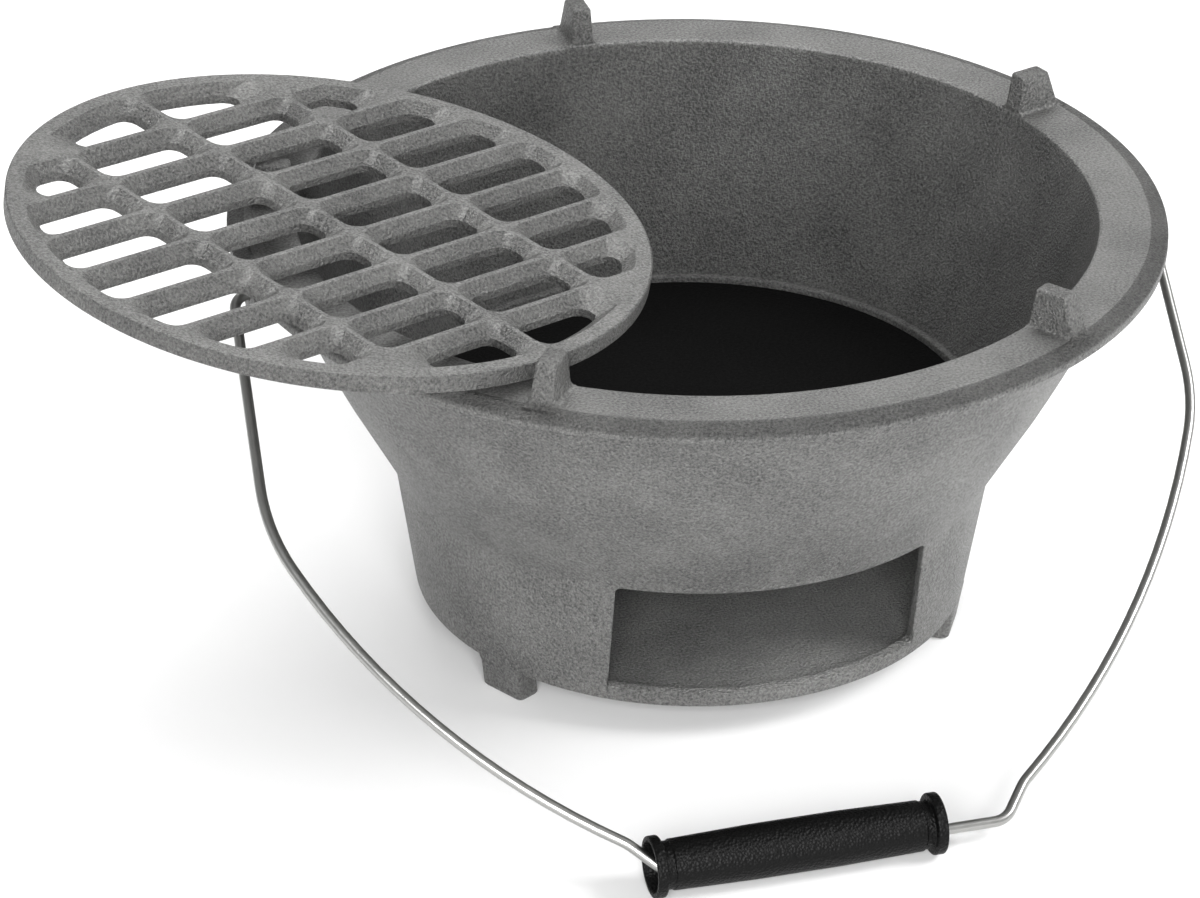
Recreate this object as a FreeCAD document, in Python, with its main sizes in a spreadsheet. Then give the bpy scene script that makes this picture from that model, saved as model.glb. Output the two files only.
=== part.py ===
"""Round cast-iron table grill: one casting, a fire plate, a loose cooking grate and a wire bail.

Millimetres, +Z up. The origin lies on the table under the middle of the bowl. The draught window
faces -Y, and the bail swings about the X axis.
"""
import FreeCAD, Part
import math
import os
import re
import Sketcher

LUG_COUNT = 5
FOOT_COUNT = 3
BAR_COUNT = 8
RIB_COUNT = 3

# First guesses for the sketch solver, in degrees. The solver finds the true turns.
KNEE_ANGLE_GUESS = 22
SWEEP_ANGLE_GUESS = 29

SIZES = {
    # Rim: a flat flange with a chamfered outer edge.
    "rim_radius": 175,
    "rim_width": 25.2,
    "rim_overhang": 14,
    "rim_chamfer_width": 5.8,
    "rim_chamfer_drop": 2,
    "rim_band_height": 4,
    # Bowl wall: how far it draws in from the flange down to the neck, and the same for its inside.
    "wall_spread": 46.8,
    "wall_curve_radius": 695,
    "neck_fillet": 22,
    "bowl_depth": 84.4,
    "bowl_spread": 39.3,
    "bowl_curve_radius": 609,
    # Recess and shelf that carry the fire plate.
    "ledge_width": 2.9,
    "seat_width": 12.6,
    "shelf_thickness": 8,
    "plate_thickness": 6,
    "plate_drop": 2,
    "plate_clearance": 1,
    # Pedestal with its ash chamber, draught window and feet.
    "base_taper": 8.3,
    "base_wall": 4,
    "chamber_height": 49.6,
    "floor_thickness": 4.5,
    "window_cheek": 46.6,
    "lintel_height": 0.7,
    "sill_height": 1.7,
    "foot_height": 13.5,
    "foot_width": 20,
    "foot_depth": 10.5,
    # Pot lugs on the rim.
    "lug_height": 14.5,
    "lug_base_length": 19.5,
    "lug_top_length": 12.5,
    "lug_inner_setback": 2,
    "lug_base_width": 9,
    "lug_top_width": 7.5,
    "lug_root": 1,
    # Ears under the flange, which carry the bail.
    "ear_setback": 3.5,
    "ear_thickness": 8,
    "ear_radius": 9,
    "ear_root": 2,
    "hinge_drop": 14,
    "pin_clearance": 0.4,
    # Bail: round steel wire bent in one plane, a little askew, with upset ends behind the ears. Its right
    # leg leans in and its left leg splays out. The shoulders lie between the legs and the straight run.
    "wire_diameter": 4,
    "bail_reach": 244.3,
    "rim_pass_gap": 0.6,
    "pin_bend_radius": 6,
    "shoulder_height": 167.3,
    "right_shoulder_width": 124.5,
    "left_shoulder_width": 112.3,
    "right_leg_lean": 3.3,
    "left_leg_splay": 5,
    "knee_radius": 76,
    "right_sweep_radius": 334.5,
    "left_sweep_radius": 269,
    "crook_radius": 20,
    "right_crook_length": 9.6,
    "left_crook_length": 11.2,
    "right_crook_angle": 38,
    "left_crook_angle": 42.2,
    "elbow_radius": 9,
    "head_diameter": 7,
    "head_thickness": 2.6,
    "head_gap": 0.4,
    # Grip: a moulded sleeve with a wide bore, slipped to the left end of the bail's straight run. The
    # wire lies on the bottom of the bore.
    "grip_end_play": 10.7,
    "grip_slip": 15.8,
    "grip_diameter": 19.7,
    "grip_shoulder_diameter": 18.4,
    "flange_diameter": 22.4,
    "flange_width": 4,
    "groove_depth": 2.5,
    "groove_width": 3,
    "bore_diameter": 11,
    "bore_gap": 0.2,
    "mouth_lip": 1.8,
    "mouth_depth": 9,
    "table_gap": 0.2,
    # Cooking grate: a ring with long bars and three cross ribs.
    "grate_radius": 118.2,
    "ring_width": 11,
    "ring_depth": 6.8,
    "ring_land_width": 6.5,
    "ring_flank_depth": 3.5,
    "bar_row_margin": 7.95,
    "rib_row_margin": 12.2,
    "bar_width": 10.6,
    "bar_depth": 6.5,
    "bar_ridge_width": 2.5,
    "bar_flank_depth": 3,
    # Where the grate lies: on one lug and on the inner edge of the rim, dipping straight away from the lug.
    "lug_bearing": 7.2,
    "grate_overlap": 25.8,
    "grate_offset_side": 53.4,
    "grate_lug_gap": 0.8,
    "grate_rim_gap": 0.15,
    "bar_angle": 46.6,
    "lean_lug_azimuth": 162,
    # One overrun serves every cut.
    "overrun": 5,
}

# Radii of the casting, from the rim inwards.
RIM_INNER = "(rim_radius - rim_width)"
WALL_TOP_RADIUS = "(rim_radius - rim_overhang)"
NECK_RADIUS = f"({WALL_TOP_RADIUS} - wall_spread)"
BASE_RADIUS = f"({NECK_RADIUS} - base_taper)"
BOWL_FLOOR_RADIUS = f"({RIM_INNER} - bowl_spread)"
RECESS_RADIUS = f"({BOWL_FLOOR_RADIUS} - ledge_width)"
SHELF_BORE_RADIUS = f"({RECESS_RADIUS} - seat_width)"
WINDOW_HALF_WIDTH = f"({BASE_RADIUS} - window_cheek)"

# Heights above the table, built up from the pieces of the casting.
FLOOR_TOP = "(foot_height + floor_thickness)"
SILL = f"({FLOOR_TOP} + sill_height)"
SHELF_UNDERSIDE = f"({FLOOR_TOP} + chamber_height)"
LINTEL = f"({SHELF_UNDERSIDE} - lintel_height)"
SEAT = f"({SHELF_UNDERSIDE} + shelf_thickness)"
LEDGE = f"({SEAT} + plate_thickness + plate_drop)"
RIM_TOP = f"({LEDGE} + bowl_depth)"
FLANGE_UNDERSIDE = f"({RIM_TOP} - rim_chamfer_drop - rim_band_height)"
HINGE_HEIGHT = f"({RIM_TOP} - hinge_drop)"
GRIP_HEIGHT = "(flange_diameter / 2 + table_gap)"
RUN_HEIGHT = f"({GRIP_HEIGHT} - bore_diameter / 2 + bore_gap + wire_diameter / 2)"

# The bail hangs from the ears and lies with its grip on the table.
EAR_OUTER = "(rim_radius - ear_setback)"
EAR_INNER = f"({EAR_OUTER} - ear_thickness)"
PIN_START = f"({EAR_INNER} - head_gap)"
BAIL_DROOP = f"asin(({HINGE_HEIGHT} - {RUN_HEIGHT}) / bail_reach)"
BAIL_HALF_SPAN = "(rim_radius + rim_pass_gap + wire_diameter / 2)"
KNEE_REACH = "(bail_reach - shoulder_height)"
KNEE_SPREAD = {"right": f"({BAIL_HALF_SPAN} - right_leg_lean)", "left": f"({BAIL_HALF_SPAN} + left_leg_splay)"}
RUN = {side: f"({BAIL_HALF_SPAN} - {side}_shoulder_width)" for side in ("right", "left")}
GRIP_LENGTH = f"({RUN['left']} + {RUN['right']} - grip_end_play)"
GRIP_SLIDE = f"(({RUN['left']} - {RUN['right']}) / 2 + grip_slip)"

# The grate's row spacings, and its dip between the lug and the place where its ring crosses the rim.
BAR_PITCH = f"(2 * (grate_radius - bar_row_margin) / {BAR_COUNT + 1})"
RIB_PITCH = f"(2 * (grate_radius - rib_row_margin) / {RIB_COUNT + 1})"
LEAN_RADIUS = f"({RIM_INNER} + lug_inner_setback + lug_bearing)"
GRATE_BACK = f"({LEAN_RADIUS} - grate_overlap)"
GRATE_OFFSET = f"sqrt({GRATE_BACK}^2 + grate_offset_side^2)"
CROSSING = f"acos(({RIM_INNER}^2 + {GRATE_OFFSET}^2 - grate_radius^2) / (2 * {RIM_INNER} * {GRATE_OFFSET}))"
CROSSING_BACK = f"({RIM_INNER} * cos({CROSSING} + atan(grate_offset_side / {GRATE_BACK})))"
GRATE_TILT = f"atan((lug_height + grate_lug_gap - grate_rim_gap) / ({LEAN_RADIUS} - {CROSSING_BACK}))"


doc = FreeCAD.newDocument("TableGrill")
sheet = doc.addObject("Spreadsheet::Sheet", "Sizes")
for row, (size_name, size) in enumerate(SIZES.items(), start=1):
    sheet.set(f"A{row}", size_name)
    sheet.set(f"B{row}", str(size))
    sheet.setAlias(f"B{row}", size_name)
doc.recompute()


def cells(formula):
    """Point every size named in a formula at its cell in the sheet."""
    return re.sub(r"[a-z_]+", lambda word: "Sizes." + word[0] if word[0] in SIZES else word[0], formula)


def measure(formula):
    """The present value of a formula, in millimetres or degrees."""
    found = sheet.evalExpression(cells(formula))
    return float(getattr(found, "Value", found))


def bind(target, **formulas):
    """Bind properties of an object to formulas over the sheet."""
    for name, formula in formulas.items():
        target.setExpression(name.replace("__", "."), cells(formula))


def new_body(name):
    body = doc.addObject("PartDesign::Body", name)
    body.Label = name
    return body


def origin_item(body, role):
    return next(item for item in body.Origin.OriginFeatures if item.Role == role)


def new_sketch(body, name, role):
    """A sketch on one of the body's own origin planes."""
    sketch = body.newObject("Sketcher::SketchObject", name)
    sketch.AttachmentSupport = [(origin_item(body, role), "")]
    sketch.MapMode = "FlatFace"
    return sketch


def hold(sketch, kind, *place, formula):
    """Add a dimension to a sketch and bind it to a formula."""
    value = measure(formula)
    if kind in ("Angle",):
        value = math.radians(value)
    index = sketch.addConstraint(Sketcher.Constraint(kind, *place, value))
    sketch.setExpression(f"Constraints[{index}]", cells(formula))


def pin_corner(sketch, edge, end, corner):
    """Place one end of an edge by its two coordinates."""
    for kind, formula in zip(("DistanceX", "DistanceY"), corner):
        hold(sketch, kind, -1, 1, edge, end, formula=formula)


def right_hand_arc(start, end, radius):
    """An arc from start to end that bulges to the right of the way it runs."""
    chord = end - start
    middle = (start + end) / 2
    inward = FreeCAD.Vector(-chord.y, chord.x, 0).normalize()
    centre = middle + inward * math.sqrt(radius**2 - chord.Length**2 / 4)
    turn = [math.atan2(point.y - centre.y, point.x - centre.x) for point in (start, end)]
    circle = Part.Circle(centre, FreeCAD.Vector(0, 0, 1), radius)
    return Part.ArcOfCircle(circle, *turn)


def draw_outline(sketch, corners, right_arcs=None, left_arcs=None):
    """A closed outline through corners given as formulas.

    The arcs map an edge's number to its radius. Each bulges to the right or left of the outline's run.
    """
    right_arcs = right_arcs or {}
    left_arcs = left_arcs or {}
    points = [FreeCAD.Vector(measure(x), measure(y), 0) for x, y in corners]
    edges = []
    for number, start in enumerate(points):
        end = points[(number + 1) % len(points)]
        if number in right_arcs:
            piece = right_hand_arc(start, end, measure(right_arcs[number]))
        elif number in left_arcs:
            piece = right_hand_arc(end, start, measure(left_arcs[number]))
        else:
            piece = Part.LineSegment(start, end)
        ends = (2, 1) if number in left_arcs else (1, 2)
        edges.append((sketch.addGeometry(piece), *ends))
    for number, (edge, near, far) in enumerate(edges):
        following, entry, _ = edges[(number + 1) % len(edges)]
        sketch.addConstraint(Sketcher.Constraint("Coincident", edge, far, following, entry))
        pin_corner(sketch, edge, near, corners[number])
    for number, radius in {**right_arcs, **left_arcs}.items():
        hold(sketch, "Radius", edges[number][0], formula=radius)


def draw_circle(sketch, centre, radius):
    """A circle whose centre and radius are formulas."""
    middle = FreeCAD.Vector(measure(centre[0]), measure(centre[1]), 0)
    circle = sketch.addGeometry(Part.Circle(middle, FreeCAD.Vector(0, 0, 1), measure(radius)))
    pin_corner(sketch, circle, 3, centre)
    hold(sketch, "Radius", circle, formula=radius)


def revolve(body, name, sketch, axis, angle=360, midplane=False):
    turned = body.newObject("PartDesign::Revolution", name)
    turned.Profile = sketch
    turned.ReferenceAxis = (sketch, [axis])
    turned.Midplane = midplane
    turned.Angle = angle
    doc.recompute()
    return turned


def pattern_round(body, name, feature, count):
    """Copies of a feature around the body's Z axis."""
    pattern = body.newObject("PartDesign::PolarPattern", name)
    pattern.Originals = [feature]
    pattern.Axis = (origin_item(body, "Z_Axis"), [""])
    pattern.Angle = 360
    pattern.Occurrences = count
    body.Tip = pattern
    doc.recompute()
    return pattern


def mirror_over(body, name, features, role):
    """Copies of features on the other side of an origin plane."""
    mirrored = body.newObject("PartDesign::Mirrored", name)
    mirrored.Originals = features
    mirrored.MirrorPlane = (origin_item(body, role), [""])
    body.Tip = mirrored
    doc.recompute()
    return mirrored


def round_edges(body, name, base, wanted, radius):
    """Fillet the circular edges of base that lie at a wanted radius and height."""
    names = []
    for index, edge in enumerate(base.Shape.Edges, start=1):
        if not isinstance(edge.Curve, Part.Circle):
            continue
        here = (edge.Curve.Radius, edge.Curve.Center.z)
        if math.isclose(math.dist(here, wanted), 0, abs_tol=math.hypot(*wanted) * 1e-6):
            names.append(f"Edge{index}")
    fillet = body.newObject("PartDesign::Fillet", name)
    fillet.Base = (base, names)
    bind(fillet, Radius=radius)
    doc.recompute()
    return fillet


def make_stove_body():
    """Bowl, flange, lugs, ears, pedestal and feet, cast in one piece."""
    body = new_body("stove_body")
    section = new_sketch(body, "WallSection", "XZ_Plane")
    draw_outline(
        section,
        [
            ("0", "foot_height"),
            (BASE_RADIUS, "foot_height"),
            (NECK_RADIUS, SHELF_UNDERSIDE),
            (WALL_TOP_RADIUS, FLANGE_UNDERSIDE),
            ("rim_radius", FLANGE_UNDERSIDE),
            ("rim_radius", f"{RIM_TOP} - rim_chamfer_drop"),
            ("rim_radius - rim_chamfer_width", RIM_TOP),
            (RIM_INNER, RIM_TOP),
            (BOWL_FLOOR_RADIUS, LEDGE),
            (RECESS_RADIUS, LEDGE),
            (RECESS_RADIUS, SEAT),
            (SHELF_BORE_RADIUS, SEAT),
            (SHELF_BORE_RADIUS, SHELF_UNDERSIDE),
            (f"{NECK_RADIUS} - base_wall", SHELF_UNDERSIDE),
            (f"{BASE_RADIUS} - base_wall", FLOOR_TOP),
            ("0", FLOOR_TOP),
        ],
        right_arcs={2: "wall_curve_radius"},
        left_arcs={7: "bowl_curve_radius"},
    )
    turned = revolve(body, "Wall", section, "V_Axis")
    neck = (measure(NECK_RADIUS), measure(SHELF_UNDERSIDE))
    necked = round_edges(body, "Neck", turned, neck, "neck_fillet")

    window = new_sketch(body, "WindowOutline", "XZ_Plane")
    draw_outline(
        window,
        [
            (f"-{WINDOW_HALF_WIDTH}", SILL),
            (WINDOW_HALF_WIDTH, SILL),
            (WINDOW_HALF_WIDTH, LINTEL),
            (f"-{WINDOW_HALF_WIDTH}", LINTEL),
        ],
    )
    opening = body.newObject("PartDesign::Pocket", "Window")
    opening.Profile = window
    opening.Reversed = True
    bind(opening, Length="rim_radius")
    doc.recompute()
    if opening.Shape.Volume >= necked.Shape.Volume:
        raise RuntimeError("the window was not cut")

    foot = new_sketch(body, "FootSection", "YZ_Plane")
    flare = "base_taper / (floor_thickness + chamber_height)"
    draw_outline(
        foot,
        [
            (f"{BASE_RADIUS} - foot_height * {flare} - foot_depth", "0"),
            (f"{BASE_RADIUS} - foot_height * {flare}", "0"),
            (f"{BASE_RADIUS} + floor_thickness * {flare}", FLOOR_TOP),
            (f"{BASE_RADIUS} + floor_thickness * {flare} - foot_depth", FLOOR_TOP),
        ],
    )
    sweep = math.degrees(measure(f"foot_width / {BASE_RADIUS}"))
    leg = revolve(body, "Foot", foot, "V_Axis", angle=sweep, midplane=True)
    bind(leg, Angle=f"foot_width / {BASE_RADIUS} * 180 / pi")
    pattern_round(body, "Feet", leg, FOOT_COUNT)

    lug = body.newObject("PartDesign::AdditiveWedge", "Lug")
    lug.AttachmentSupport = [(origin_item(body, "XZ_Plane"), "")]
    lug.MapMode = "FlatFace"
    bind(
        lug,
        Xmin="-lug_base_width / 2",
        Xmax="lug_base_width / 2",
        X2min="-lug_top_width / 2",
        X2max="lug_top_width / 2",
        Ymin=f"{RIM_TOP} - lug_root",
        Ymax=f"{RIM_TOP} + lug_height",
        Zmin=f"-{RIM_INNER} - lug_base_length",
        Zmax=f"-{RIM_INNER}",
        Z2min=f"-{RIM_INNER} - lug_inner_setback - lug_top_length",
        Z2max=f"-{RIM_INNER} - lug_inner_setback",
    )
    doc.recompute()
    pattern_round(body, "Lugs", lug, LUG_COUNT)

    tab = new_sketch(body, "EarOutline", "YZ_Plane")
    root = f"{FLANGE_UNDERSIDE} + ear_root"
    draw_ear(tab, root)
    ear = body.newObject("PartDesign::Pad", "Ear")
    ear.Profile = tab
    bind(ear, Length="ear_thickness")
    tab.setExpression("AttachmentOffset.Base.z", cells(EAR_INNER))
    doc.recompute()
    mirror_over(body, "Ears", [ear], "YZ_Plane")
    return body


def draw_ear(sketch, root):
    """A tab with a round lower end around the hinge hole."""
    side = measure("ear_radius")
    top = measure(root)
    hinge = measure(HINGE_HEIGHT)
    up = FreeCAD.Vector(0, 0, 1)
    centre = FreeCAD.Vector(0, hinge, 0)
    corners = [FreeCAD.Vector(x, y, 0) for x, y in ((side, hinge), (side, top), (-side, top), (-side, hinge))]
    lines = [sketch.addGeometry(Part.LineSegment(*pair)) for pair in zip(corners, corners[1:])]
    arc = sketch.addGeometry(Part.ArcOfCircle(Part.Circle(centre, up, side), math.pi, 2 * math.pi))
    for before, after in zip(lines, lines[1:]):
        sketch.addConstraint(Sketcher.Constraint("Coincident", before, 2, after, 1))
    sketch.addConstraint(Sketcher.Constraint("Tangent", lines[2], 2, arc, 1))
    sketch.addConstraint(Sketcher.Constraint("Tangent", arc, 2, lines[0], 1))
    sketch.addConstraint(Sketcher.Constraint("Horizontal", lines[1]))
    sketch.addConstraint(Sketcher.Constraint("Vertical", lines[0]))
    pin_corner(sketch, arc, 3, ("0", HINGE_HEIGHT))
    hold(sketch, "Radius", arc, formula="ear_radius")
    hold(sketch, "DistanceY", -1, 1, lines[1], 1, formula=root)
    draw_circle(sketch, ("0", HINGE_HEIGHT), "wire_diameter / 2 + pin_clearance")


def make_fire_plate():
    """The loose disc that closes the bottom of the bowl and carries the charcoal."""
    body = new_body("fire_plate")
    disc = new_sketch(body, "Disc", "XY_Plane")
    draw_circle(disc, ("0", "0"), f"{RECESS_RADIUS} - plate_clearance")
    plate = body.newObject("PartDesign::Pad", "Plate")
    plate.Profile = disc
    bind(plate, Length="plate_thickness")
    doc.recompute()
    bind(body, Placement__Base__z=SEAT)
    return body


def draw_bail_path(sketch, side):
    """One side of the bail's centre line: pin, leg, knee, long sweep, crook, elbow and straight run."""
    outward, inward = {"right": ("", "-"), "left": ("-", "")}[side]
    pen = Pen(sketch, measure(PIN_START), mirrored=side == "left")
    pin = pen.line(measure(f"{BAIL_HALF_SPAN} - pin_bend_radius - {PIN_START}"))
    bend = pen.arc(measure("pin_bend_radius"), -90)
    leg = pen.line(measure(f"{KNEE_REACH} - pin_bend_radius"))
    knee = pen.arc(measure("knee_radius"), -KNEE_ANGLE_GUESS)
    sweep = pen.arc(measure(f"{side}_sweep_radius"), -SWEEP_ANGLE_GUESS)
    crook_turn = KNEE_ANGLE_GUESS + SWEEP_ANGLE_GUESS - measure(f"{side}_crook_angle")
    crook = pen.arc(measure("crook_radius"), crook_turn)
    straight = pen.line(measure(f"{side}_crook_length"))
    elbow = pen.arc(measure("elbow_radius"), measure(f"{side}_crook_angle") - 90)
    run = pen.line(measure(RUN[side]))
    sketch.addConstraint(Sketcher.Constraint("Horizontal", pin))
    sketch.addConstraint(Sketcher.Constraint("Horizontal", run))
    pin_corner(sketch, pin, 1, (f"{outward}{PIN_START}", "0"))
    pin_corner(sketch, leg, 2, (f"{outward}{KNEE_SPREAD[side]}", f"-{KNEE_REACH}"))
    pin_corner(sketch, run, 2, ("0", "-bail_reach"))
    hold(sketch, "DistanceX", -1, 1, pin, 2, formula=f"{outward}({BAIL_HALF_SPAN} - pin_bend_radius)")
    hold(sketch, "DistanceX", -1, 1, run, 1, formula=f"{outward}{RUN[side]}")
    lean = f"({side}_crook_length * sin({side}_crook_angle * 1deg))"
    hold(sketch, "Distance", straight, formula=f"{side}_crook_length")
    hold(sketch, "DistanceX", straight, 1, straight, 2, formula=f"{inward}{lean}")
    for arc, radius in ((bend, "pin_bend_radius"), (knee, "knee_radius"), (sweep, f"{side}_sweep_radius"),
                        (crook, "crook_radius"), (elbow, "elbow_radius")):
        hold(sketch, "Radius", arc, formula=radius)


class Pen:
    """Draws lines and arcs one after another in a sketch, each tangent to the one before.

    A mirrored pen starts on the other side of the Y axis and turns the other way.
    """

    def __init__(self, sketch, start, mirrored):
        self.sketch = sketch
        self.hand = -1 if mirrored else 1
        self.place = FreeCAD.Vector(self.hand * start, 0, 0)
        self.heading = math.pi if mirrored else 0.0
        self.last = None

    def join(self, piece, entry, leave):
        if self.last:
            self.sketch.addConstraint(Sketcher.Constraint("Tangent", *self.last, piece, entry))
        self.last = (piece, leave)
        return piece

    def line(self, length):
        way = FreeCAD.Vector(math.cos(self.heading), math.sin(self.heading), 0)
        start = self.place
        self.place = start + way * length
        return self.join(self.sketch.addGeometry(Part.LineSegment(start, self.place)), 1, 2)

    def arc(self, radius, turn):
        """A turn of so many degrees, to the left where positive, or to the right in a mirrored pen."""
        turn *= self.hand
        side = math.copysign(math.pi / 2, turn)
        aim = self.heading + side
        centre = self.place + FreeCAD.Vector(math.cos(aim), math.sin(aim), 0) * radius
        first = aim + math.pi
        last = first + math.radians(turn)
        circle = Part.Circle(centre, FreeCAD.Vector(0, 0, 1), radius)
        self.heading += math.radians(turn)
        self.place = centre + FreeCAD.Vector(math.cos(last), math.sin(last), 0) * radius
        if turn > 0:
            return self.join(self.sketch.addGeometry(Part.ArcOfCircle(circle, first, last)), 1, 2)
        return self.join(self.sketch.addGeometry(Part.ArcOfCircle(circle, last, first)), 2, 1)


def make_bail():
    """The wire handle, hooked through both ears and lying with its grip on the table."""
    body = new_body("bail_wire")
    for side, sign in (("right", ""), ("left", "-")):
        path = new_sketch(body, f"{side}_path", "XY_Plane")
        draw_bail_path(path, side)
        doc.recompute()
        wire_end = new_sketch(body, f"{side}_wire_section", "YZ_Plane")
        draw_circle(wire_end, ("0", "0"), "wire_diameter / 2")
        wire_end.setExpression("AttachmentOffset.Base.z", cells(f"{sign}{PIN_START}"))
        wire = body.newObject("PartDesign::AdditivePipe", f"{side}_wire")
        wire.Profile = wire_end
        wire.Spine = (path, [f"Edge{number}" for number in range(1, path.GeometryCount + 1)])
        doc.recompute()

        head_end = new_sketch(body, f"{side}_head_outline", "YZ_Plane")
        draw_circle(head_end, ("0", "0"), "head_diameter / 2")
        head_end.setExpression("AttachmentOffset.Base.z", cells(f"{sign}({PIN_START} - head_thickness)"))
        head = body.newObject("PartDesign::Pad", f"{side}_head")
        head.Profile = head_end
        head.Reversed = bool(sign)
        bind(head, Length="head_thickness")
        doc.recompute()

    body.Placement.Rotation = FreeCAD.Rotation(FreeCAD.Vector(1, 0, 0), measure(BAIL_DROOP))
    bind(body, Placement__Base__z=HINGE_HEIGHT, Placement__Rotation__Angle=BAIL_DROOP)
    return body


def make_grip():
    """The sleeve on the bail: flanged ends, grooves behind them, flared mouths and a wide bore."""
    body = new_body("bail_grip")
    section = new_sketch(body, "SleeveSection", "XY_Plane")
    half = f"{GRIP_LENGTH} / 2"
    right = [
        (half, "flange_diameter / 2 - mouth_lip"),
        (half, "flange_diameter / 2"),
        (f"{half} - flange_width", "flange_diameter / 2"),
        (f"{half} - flange_width", "flange_diameter / 2 - groove_depth"),
        (f"{half} - flange_width - groove_width", "flange_diameter / 2 - groove_depth"),
        (f"{half} - flange_width - groove_width", "grip_shoulder_diameter / 2"),
        ("0", "grip_diameter / 2"),
    ]
    left = [("-(" + x + ")", y) for x, y in reversed(right[:-1])]
    bore = [
        (f"-({half}) + mouth_depth", "bore_diameter / 2"),
        (f"{half} - mouth_depth", "bore_diameter / 2"),
    ]
    draw_outline(section, right + left + bore)
    revolve(body, "Sleeve", section, "H_Axis")
    body.Placement.Rotation = FreeCAD.Rotation(FreeCAD.Vector(1, 0, 0), measure(BAIL_DROOP))
    bind(
        body,
        Placement__Base__x=f"-{GRIP_SLIDE}",
        Placement__Base__y=f"-bail_reach * cos({BAIL_DROOP})",
        Placement__Base__z=GRIP_HEIGHT,
        Placement__Rotation__Angle=BAIL_DROOP,
    )
    return body


def lay_bars(body, name, role, direction, pitch, count):
    """Parallel bars across the ring, spaced evenly about its middle, with upright flanks and sloped tops."""
    outline = new_sketch(body, name + "Section", role)
    first = f"-{pitch} * {(count - 1) / 2}"
    draw_outline(
        outline,
        [
            (f"{first} - bar_width / 2", "0"),
            (f"{first} + bar_width / 2", "0"),
            (f"{first} + bar_width / 2", "bar_flank_depth"),
            (f"{first} + bar_ridge_width / 2", "bar_depth"),
            (f"{first} - bar_ridge_width / 2", "bar_depth"),
            (f"{first} - bar_width / 2", "bar_flank_depth"),
        ],
    )
    bar = body.newObject("PartDesign::Pad", name)
    bar.Profile = outline
    bar.Midplane = True
    bind(bar, Length="2 * grate_radius")
    doc.recompute()
    row = body.newObject("PartDesign::LinearPattern", name + "Row")
    row.Originals = [bar]
    row.Direction = (origin_item(body, direction), [""])
    bind(row, Length=f"{pitch} * {count - 1}")
    row.Occurrences = count
    body.Tip = row
    doc.recompute()
    return row


def make_cooking_grate():
    """Ring, long bars and cross ribs, cast in one piece and lying askew on the stove."""
    body = new_body("cooking_grate")
    lay_bars(body, "Bar", "YZ_Plane", "Y_Axis", BAR_PITCH, BAR_COUNT)
    barred = lay_bars(body, "Rib", "XZ_Plane", "X_Axis", RIB_PITCH, RIB_COUNT)

    trim = new_sketch(body, "TrimSection", "XZ_Plane")
    middle = "grate_radius - ring_width / 2"
    draw_outline(
        trim,
        [
            (middle, "-overrun"),
            ("2 * grate_radius", "-overrun"),
            ("2 * grate_radius", "ring_depth + overrun"),
            (middle, "ring_depth + overrun"),
        ],
    )
    cut = body.newObject("PartDesign::Groove", "Trim")
    cut.Profile = trim
    cut.ReferenceAxis = (trim, ["V_Axis"])
    cut.Angle = 360
    doc.recompute()
    if cut.Shape.Volume >= barred.Shape.Volume:
        raise RuntimeError("the bars were not trimmed to the ring")

    ring = new_sketch(body, "RingSection", "XZ_Plane")
    draw_outline(
        ring,
        [
            ("grate_radius - ring_width", "0"),
            ("grate_radius", "0"),
            ("grate_radius", "ring_depth"),
            ("grate_radius - ring_land_width", "ring_depth"),
            ("grate_radius - ring_width", "ring_flank_depth"),
        ],
    )
    revolve(body, "Ring", ring, "V_Axis")

    dip = measure("lean_lug_azimuth - 180")
    lean = FreeCAD.Rotation(FreeCAD.Vector(-math.sin(math.radians(dip)), math.cos(math.radians(dip)), 0),
                            measure(GRATE_TILT))
    spin = FreeCAD.Rotation(FreeCAD.Vector(0, 0, 1), measure("bar_angle") + dip)
    body.Placement.Rotation = lean.multiply(spin)
    azimuth = "(lean_lug_azimuth * 1deg)"
    rise = f"tan({GRATE_TILT})"
    bind(
        body,
        Placement__Base__x=f"{GRATE_BACK} * cos({azimuth}) - grate_offset_side * sin({azimuth})",
        Placement__Base__y=f"{GRATE_BACK} * sin({azimuth}) + grate_offset_side * cos({azimuth})",
        Placement__Base__z=f"{RIM_TOP} + lug_height + grate_lug_gap - grate_overlap * {rise}",
    )
    return body


pieces = [make_stove_body(), make_fire_plate(), make_bail(), make_grip(), make_cooking_grate()]
doc.recompute()

for item in doc.Objects:
    if "Invalid" in item.State or "Error" in item.State:
        raise RuntimeError(f"{item.Name} failed: {item.State}")
for piece in pieces:
    if piece.Shape.isNull() or not piece.Shape.isValid():
        raise RuntimeError(f"{piece.Label} has no valid shape")

os.makedirs("parts", exist_ok=True)
for piece in pieces:
    piece.Shape.exportStep(f"parts/{piece.Label}.step")
    box = piece.Shape.optimalBoundingBox()
    size = f"{box.XLength:.1f} x {box.YLength:.1f} x {box.ZLength:.1f} mm"
    print(piece.Label, len(piece.Shape.Solids), "solid,", size, f"{piece.Shape.Volume / 1000:.1f} cm3")
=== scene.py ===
# %% [markdown]
# # A cast-iron table grill
#
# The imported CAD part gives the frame: a footed casting, a fire plate, a loose grate, a wire bail
# and its grip. This lesson dresses that frame. The casting, the grate and the grip are modelled
# again with softer edges, and each replaces its CAD node. The fire plate and the wire are already
# as round as they need to be, so they only get a material.

# %%
import math

import bmesh
import bpy
from mathutils import Matrix, Vector


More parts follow.
